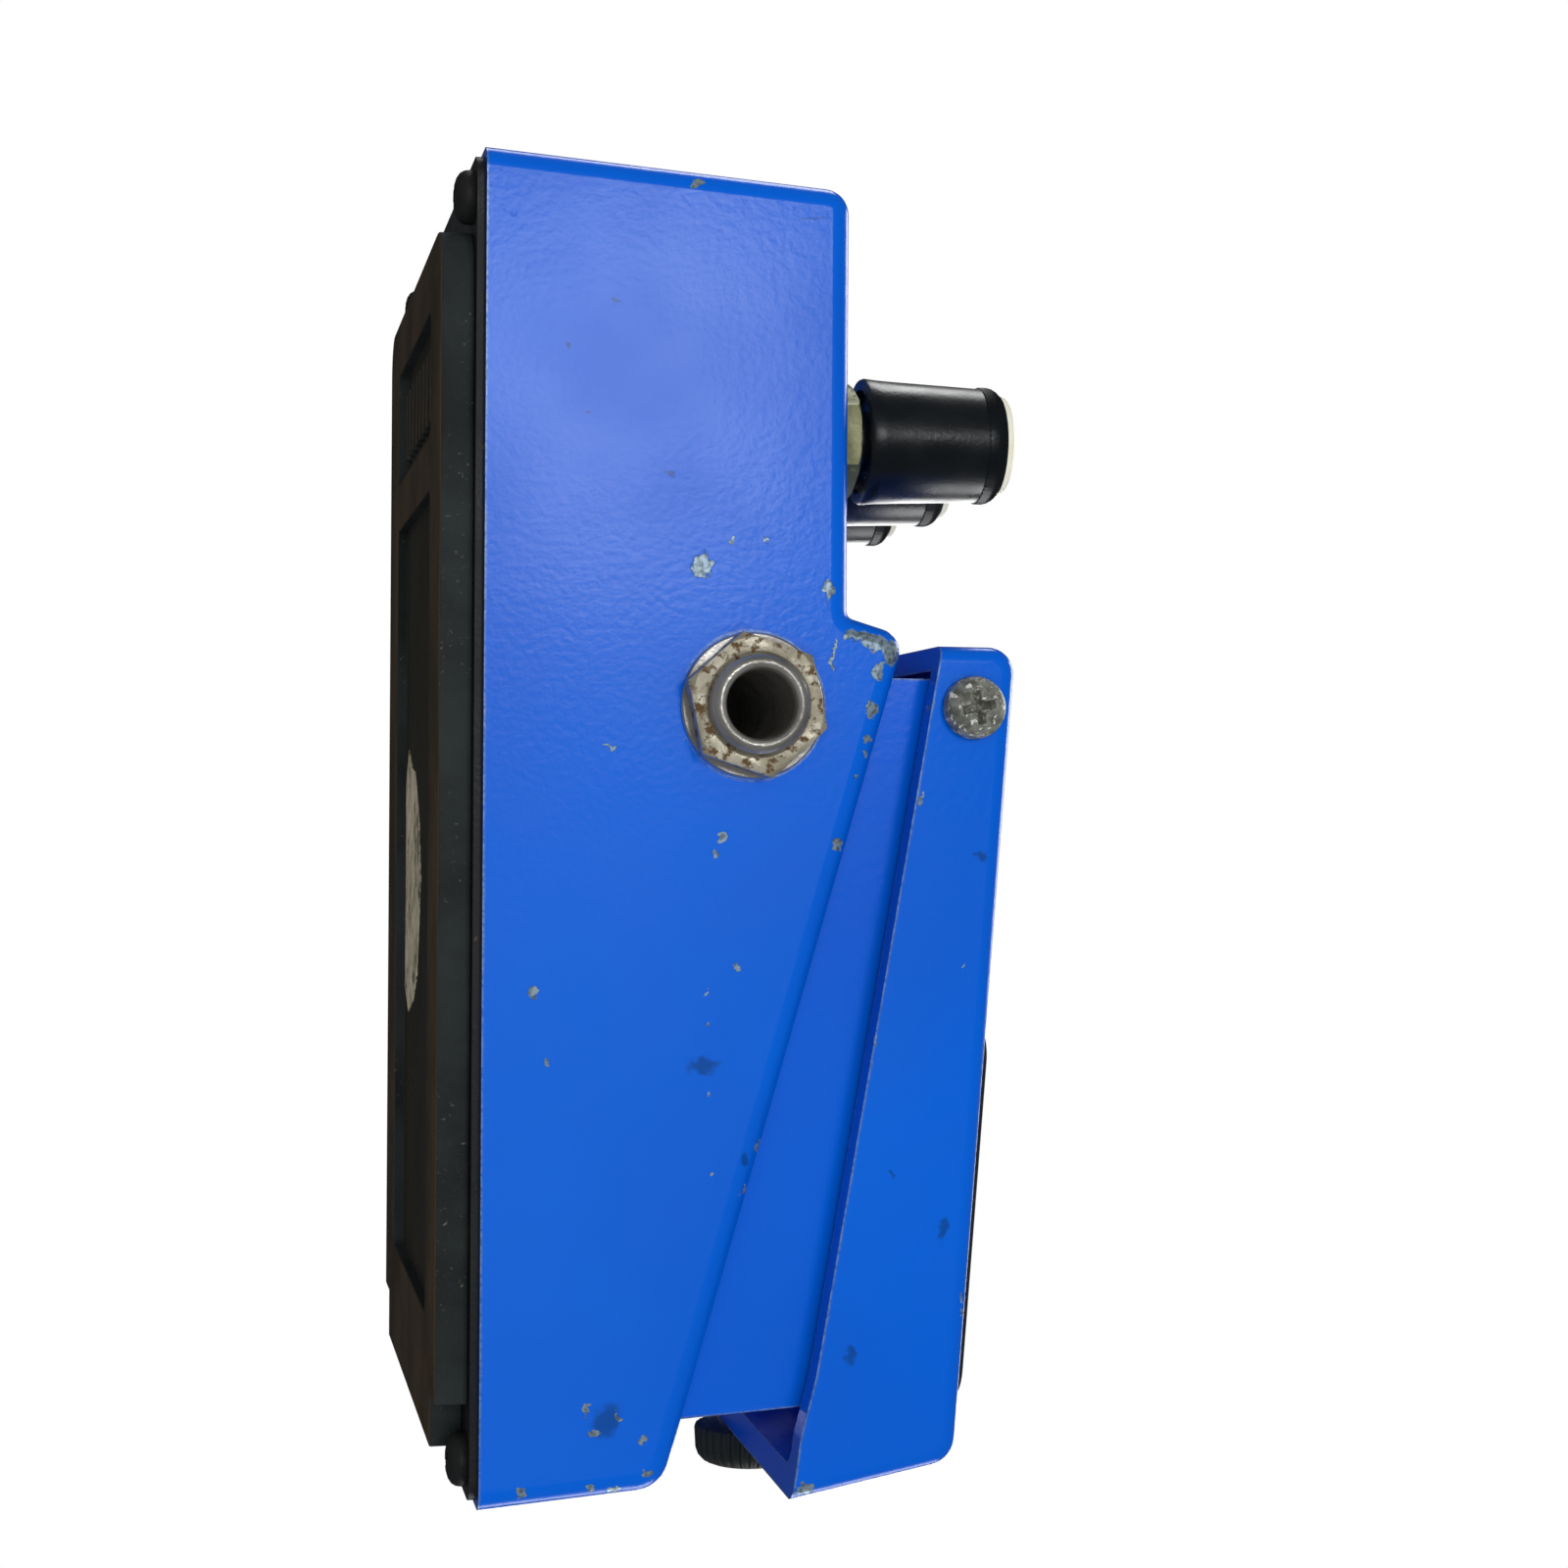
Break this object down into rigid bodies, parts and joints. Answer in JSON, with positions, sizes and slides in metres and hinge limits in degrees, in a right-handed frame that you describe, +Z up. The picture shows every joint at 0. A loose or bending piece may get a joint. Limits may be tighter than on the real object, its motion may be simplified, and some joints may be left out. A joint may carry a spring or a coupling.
{
  "type": "compact effects pedal",
  "caption": "Compact guitar effects pedal: blue die-cast housing, sprung foot treadle with rubber pad, rotary controls, jacks in both sides.",
  "frame": {"origin": "middle of the rubber sole's underside, on the floor", "axes": "+X to the player's right (input jack), +Y to the rear (power socket), +Z up"},
  "size_m": [0.078, 0.1311, 0.0569],
  "materials": {
    "blue_paint": "semi-gloss paint, worn to bare metal at edges",
    "black_rubber": "matt, dusty",
    "black_steel": "satin black",
    "zinc": "dull zinc plate",
    "worn_nickel": "worn nickel with rust",
    "jack_metal": "dull plated",
    "contact_brass": "dull brass",
    "black_plastic": "satin",
    "ivory_plastic": "aged ivory",
    "white_nylon": "natural nylon",
    "board_green": "solder mask",
    "capacitor_sleeve": "printed sleeve, no text",
    "battery_case": "plain",
    "lead_insulation": "PVC",
    "clear_film": "thin sheet",
    "red_light": "tinted lens"
  },
  "bodies": {
    "body": {"base_plate": "black_steel", "base_screws": "black_steel", "battery": "battery_case", "battery_foam": "black_rubber", "battery_leads": "lead_insulation", "battery_snap": "black_plastic", "board_link": "black_plastic", "board_screws": "zinc", "capacitors": "capacitor_sleeve", "circuit_chips": "black_plastic", "control_board": "board_green", "foot_switch": "black_plastic", "guide_bush": "white_nylon", "hinge_screws": "zinc", "housing": "blue_paint", "indicator_light": "red_light", "input_jack": "jack_metal", "input_jack_contact": "contact_brass", "input_jack_nut": "worn_nickel", "input_jack_washer": "worn_nickel", "insulating_sheet": "clear_film", "jack_leads": "lead_insulation", "lead_grommet": "black_rubber", "left_pot": "jack_metal", "light_bezel": "black_plastic", "main_board": "board_green", "middle_pot": "jack_metal", "output_jack": "jack_metal", "output_jack_contact": "contact_brass", "output_jack_nut": "worn_nickel", "output_jack_washer": "worn_nickel", "pot_nuts": "zinc", "pot_washers": "zinc", "power_leads": "lead_insulation", "power_nut": "black_plastic", "power_pin": "worn_nickel", "power_socket": "black_plastic", "return_spring": "zinc", "right_pot": "jack_metal", "rubber_sole": "black_rubber", "spring_seat": "white_nylon", "switch_boot": "black_rubber"},
    "treadle": {"treadle": "blue_paint", "treadle_pad": "black_rubber", "hinge_bushes": "white_nylon", "spring_cup": "white_nylon", "treadle_post": "white_nylon"},
    "thumbscrew": {"thumbscrew_head": "black_plastic", "thumbscrew_shank": "zinc"},
    "plunger": {"switch_plunger": "white_nylon"},
    "left_knob": {"left_knob": "black_plastic", "left_knob_cap": "ivory_plastic", "left_shaft": "zinc"},
    "middle_knob": {"middle_knob": "black_plastic", "middle_knob_cap": "ivory_plastic", "middle_shaft": "zinc"},
    "right_knob": {"right_knob": "black_plastic", "right_knob_cap": "ivory_plastic", "right_shaft": "zinc"}
  },
  "joints": [
    {"name": "treadle_press", "type": "hinge", "parent": "body", "child": "treadle", "pos_m": [0, 0.0116, 0.0506], "axis": [1, 0, 0], "range_deg": [0, 3], "stiffness_Nm_per_rad": 4, "springref_deg": -11.46, "deforming": ["return_spring"]},
    {"name": "plunger_press", "type": "slide", "parent": "body", "child": "plunger", "axis": [0, 0, -1], "range_m": [0, 0.0028], "stiffness_N_per_m": 150, "springref_m": -0.002},
    {"name": "thumbscrew_withdraw", "type": "slide", "parent": "treadle", "child": "thumbscrew", "axis": [0, -1, 0], "range_m": [0, 0.0055]},
    {"name": "left_knob_turn", "type": "hinge", "parent": "body", "child": "left_knob", "pos_m": [-0.022, 0.0382, 0.045], "axis": [0, 0, -1], "range_deg": [-150, 150]},
    {"name": "middle_knob_turn", "type": "hinge", "parent": "body", "child": "middle_knob", "pos_m": [0, 0.0382, 0.045], "axis": [0, 0, -1], "range_deg": [-150, 150]},
    {"name": "right_knob_turn", "type": "hinge", "parent": "body", "child": "right_knob", "pos_m": [0.022, 0.0382, 0.045], "axis": [0, 0, -1], "range_deg": [-150, 150]}
  ],
  "couplings": [
    {"joint": "plunger_press", "follows": "treadle_press", "m_per_rad": 0.0522}
  ]
}
